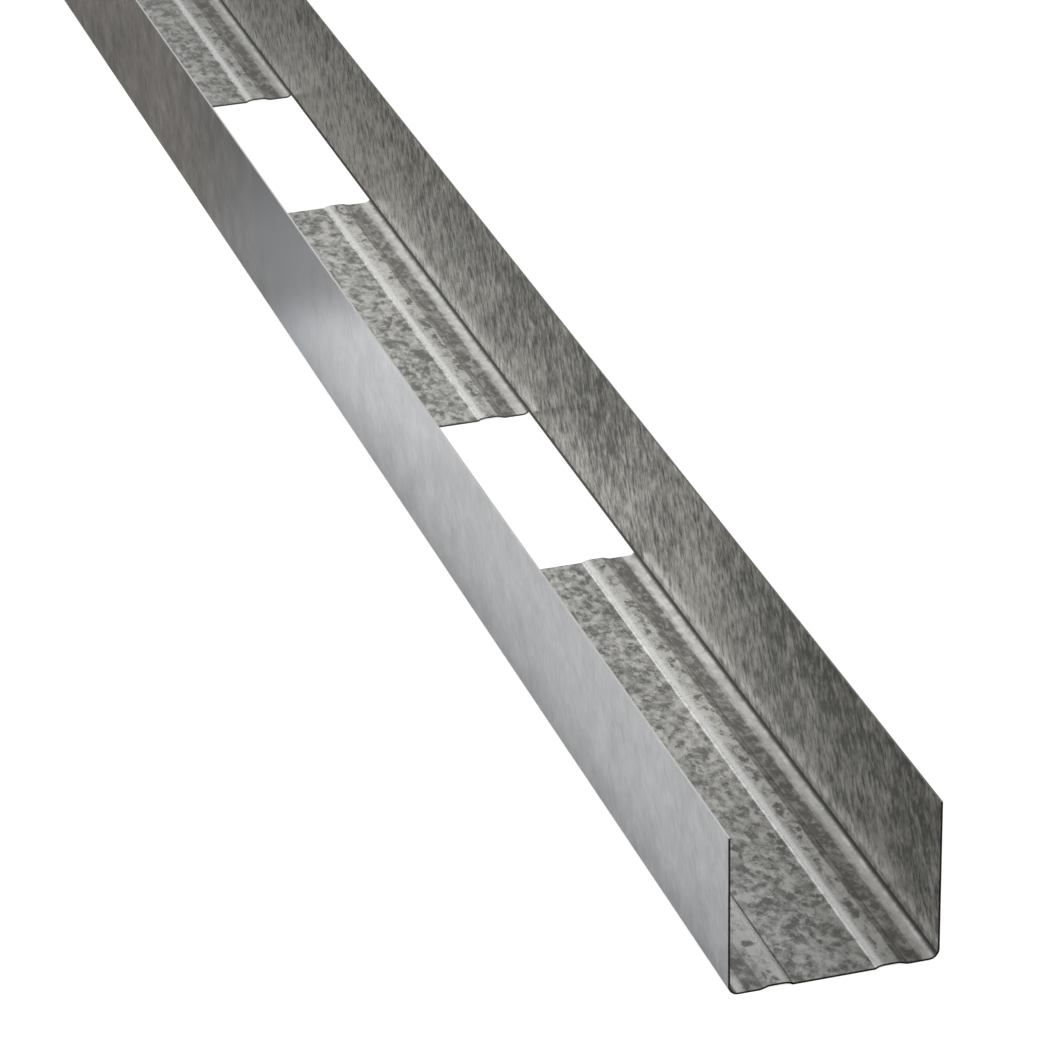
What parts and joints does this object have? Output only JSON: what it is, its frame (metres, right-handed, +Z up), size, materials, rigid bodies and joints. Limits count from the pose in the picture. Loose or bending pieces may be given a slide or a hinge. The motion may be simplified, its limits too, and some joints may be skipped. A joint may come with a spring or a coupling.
{
  "type": "drywall metal stud",
  "caption": "Plain U-section stud of thin galvanised steel sheet, with shallow ribs along the web and rectangular service cut-outs, for drywall partition frames.",
  "frame": {"origin": "middle of the underside of the web, on the floor that the stud lies on", "axes": "+Y along the stud, towards the end farther from its first cut-out; +Z up, the way the flanges stand; X across the web"},
  "size_m": [0.05, 3, 0.04],
  "materials": {
    "galvanised_steel": "hot-dip zinc with a visible spangle, semi-bright"
  },
  "bodies": {
    "root": {"stud": "galvanised_steel"}
  },
  "joints": []
}
